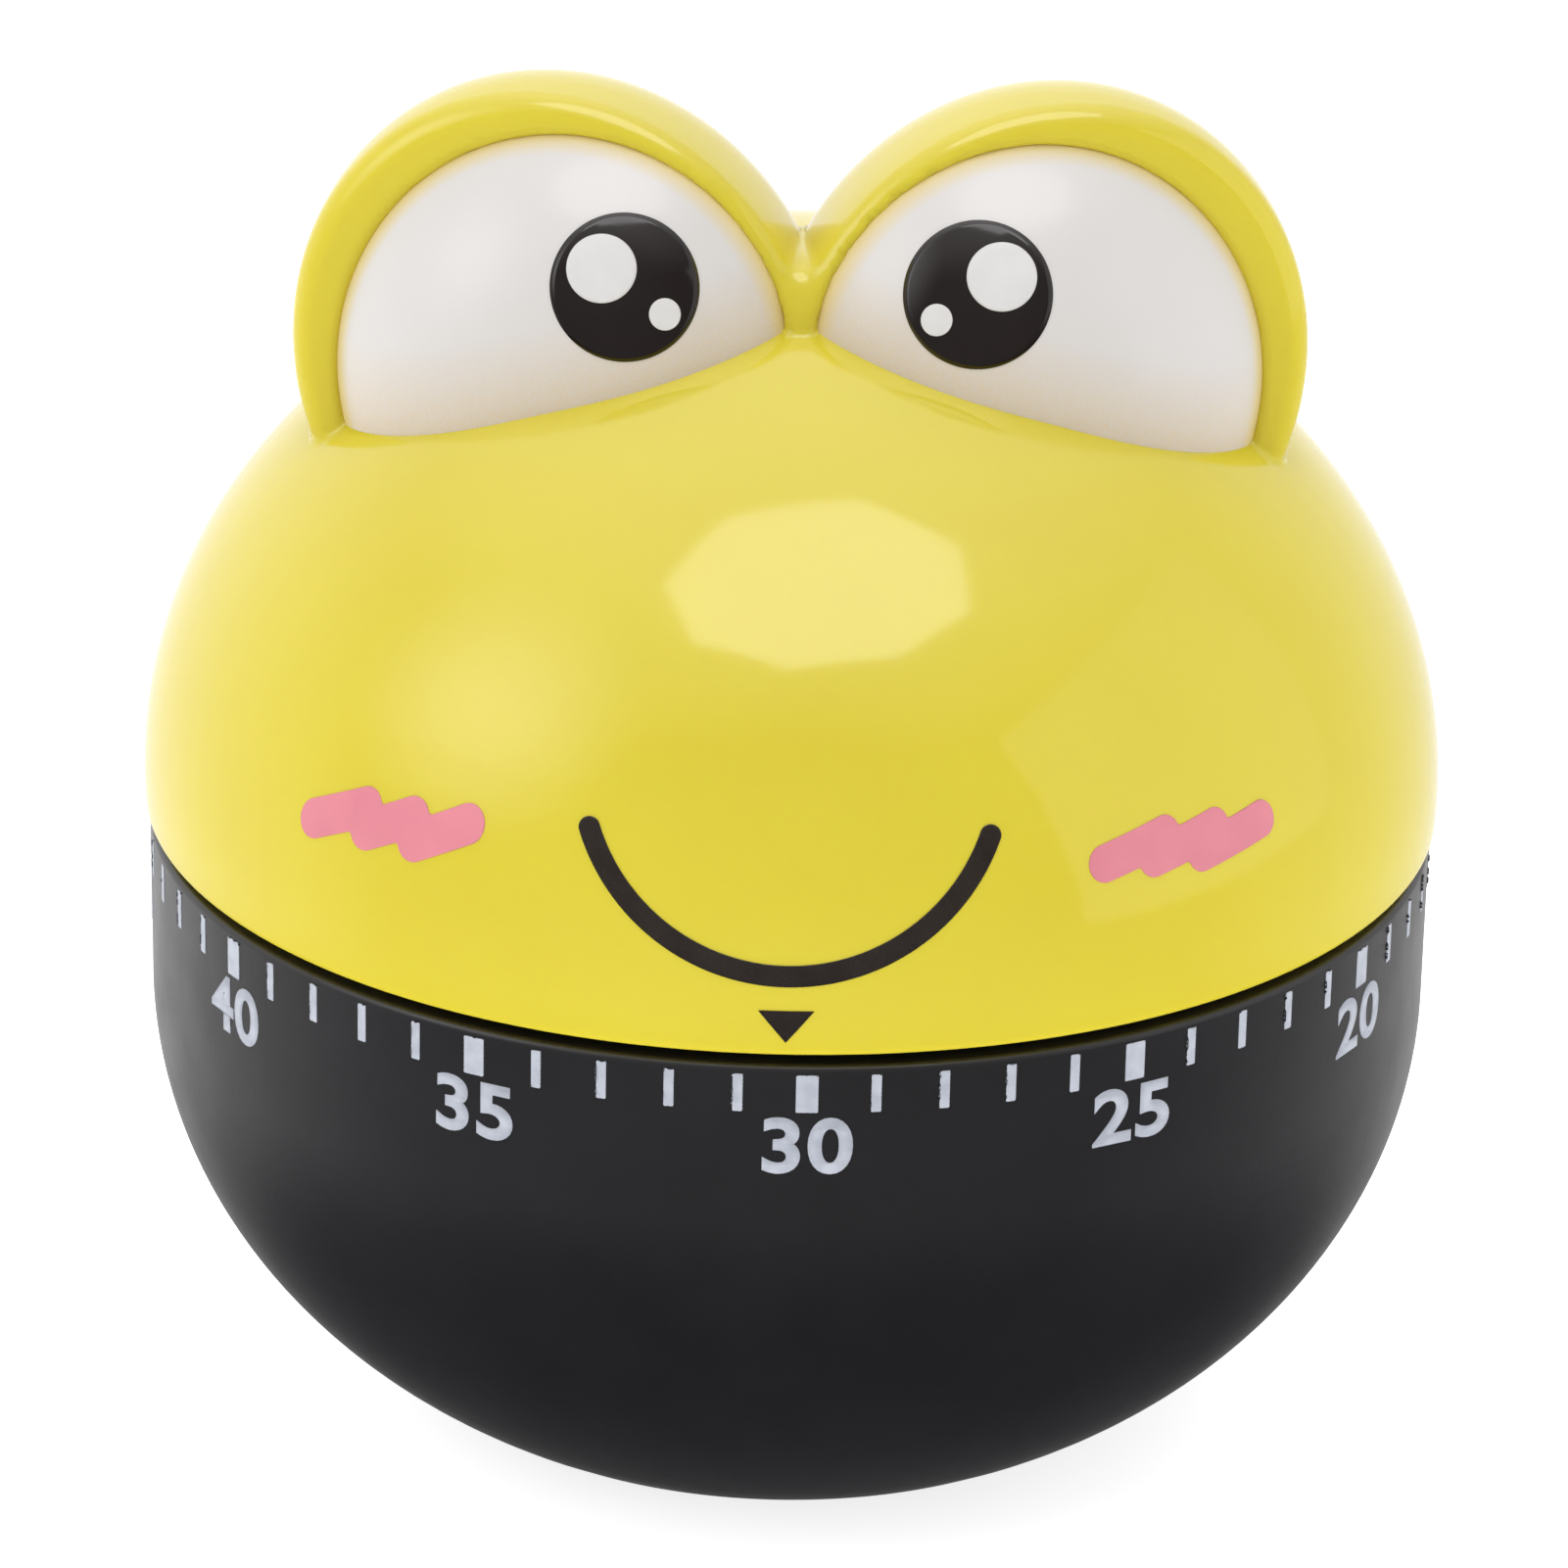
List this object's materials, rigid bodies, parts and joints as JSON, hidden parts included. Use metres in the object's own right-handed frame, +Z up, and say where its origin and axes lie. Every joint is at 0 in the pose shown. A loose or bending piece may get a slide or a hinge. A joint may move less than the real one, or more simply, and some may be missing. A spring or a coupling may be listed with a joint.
{
  "type": "kitchen timer",
  "caption": "Round wind-up kitchen timer: a yellow frog's head turns on a black bowl with a printed minute scale, over a spring movement and bell.",
  "frame": {"origin": "centre of the flat bottom of the bowl, on the main axis", "axes": "+Z up along the axis that the head turns about, -Y towards the face and the pointer, +X to the viewer's right"},
  "size_m": [0.0658, 0.0658, 0.0705],
  "materials": {
    "yellow_plastic": "glossy moulded ABS, yellow",
    "black_plastic": "satin black moulded ABS",
    "brass": "stamped brass, bright",
    "steel": "bright turned steel",
    "spring_steel": "blued spring steel",
    "bell_steel": "nickel plated pressed steel",
    "white_plastic": "natural acetal"
  },
  "bodies": {
    "base": {"base_bowl": "black_plastic", "deck_cover": "black_plastic", "deck_screws": "steel", "upper_plate": "brass", "lower_plate": "brass", "plate_pillars": "brass", "pillar_screws": "steel", "movement_screws": "steel", "mainspring": "spring_steel", "spring_post": "steel", "bell_cup": "bell_steel", "bell_post": "brass", "bell_screw": "steel"},
    "head": {"head_shell": "yellow_plastic", "main_arbor": "steel", "main_wheel": "brass", "ratchet_wheel": "steel", "click_pawl": "steel", "strike_cam": "white_plastic"},
    "second": {"second_pinion": "steel", "second_wheel": "brass"},
    "third": {"third_pinion": "steel", "third_wheel": "brass"},
    "escape": {"escape_pinion": "steel", "escape_wheel": "brass"},
    "regulator": {"anchor_staff": "steel", "anchor": "brass", "anchor_pins": "steel", "inertia_bar": "brass"},
    "hammer": {"hammer_staff": "steel", "hammer_arm": "steel", "hammer_head": "brass", "trip_lever": "steel", "hammer_spring": "spring_steel"}
  },
  "joints": [
    {"name": "head_turn", "type": "hinge", "parent": "base", "child": "head", "pos_m": [0, 0, 0.031], "axis": [0, 0, 1], "range_deg": [-177.75, 182.25]},
    {"name": "second_spin", "type": "hinge", "parent": "base", "child": "second", "pos_m": [0.0153, 0, 0.018], "axis": [0, 0, 1], "continuous": true},
    {"name": "third_spin", "type": "hinge", "parent": "base", "child": "third", "pos_m": [0.01356, 0.01106, 0.018], "axis": [0, 0, 1], "continuous": true},
    {"name": "escape_spin", "type": "hinge", "parent": "base", "child": "escape", "pos_m": [0.00634, 0.0177, 0.018], "axis": [0, 0, 1], "continuous": true},
    {"name": "regulator_swing", "type": "hinge", "parent": "base", "child": "regulator", "pos_m": [-0.00064, 0.01899, 0.018], "axis": [0, 0, 1], "range_deg": [-7, 7]},
    {"name": "hammer_swing", "type": "hinge", "parent": "base", "child": "hammer", "pos_m": [-0.00445, -0.01661, 0.012], "axis": [0, 0, 1], "range_deg": [-4, 7.5], "stiffness_Nm_per_rad": 0.0004}
  ],
  "couplings": [
    {"joint": "second_spin", "follows": "head_turn", "ratio": -7.5},
    {"joint": "third_spin", "follows": "head_turn", "ratio": 52.5},
    {"joint": "escape_spin", "follows": "head_turn", "ratio": -315}
  ]
}
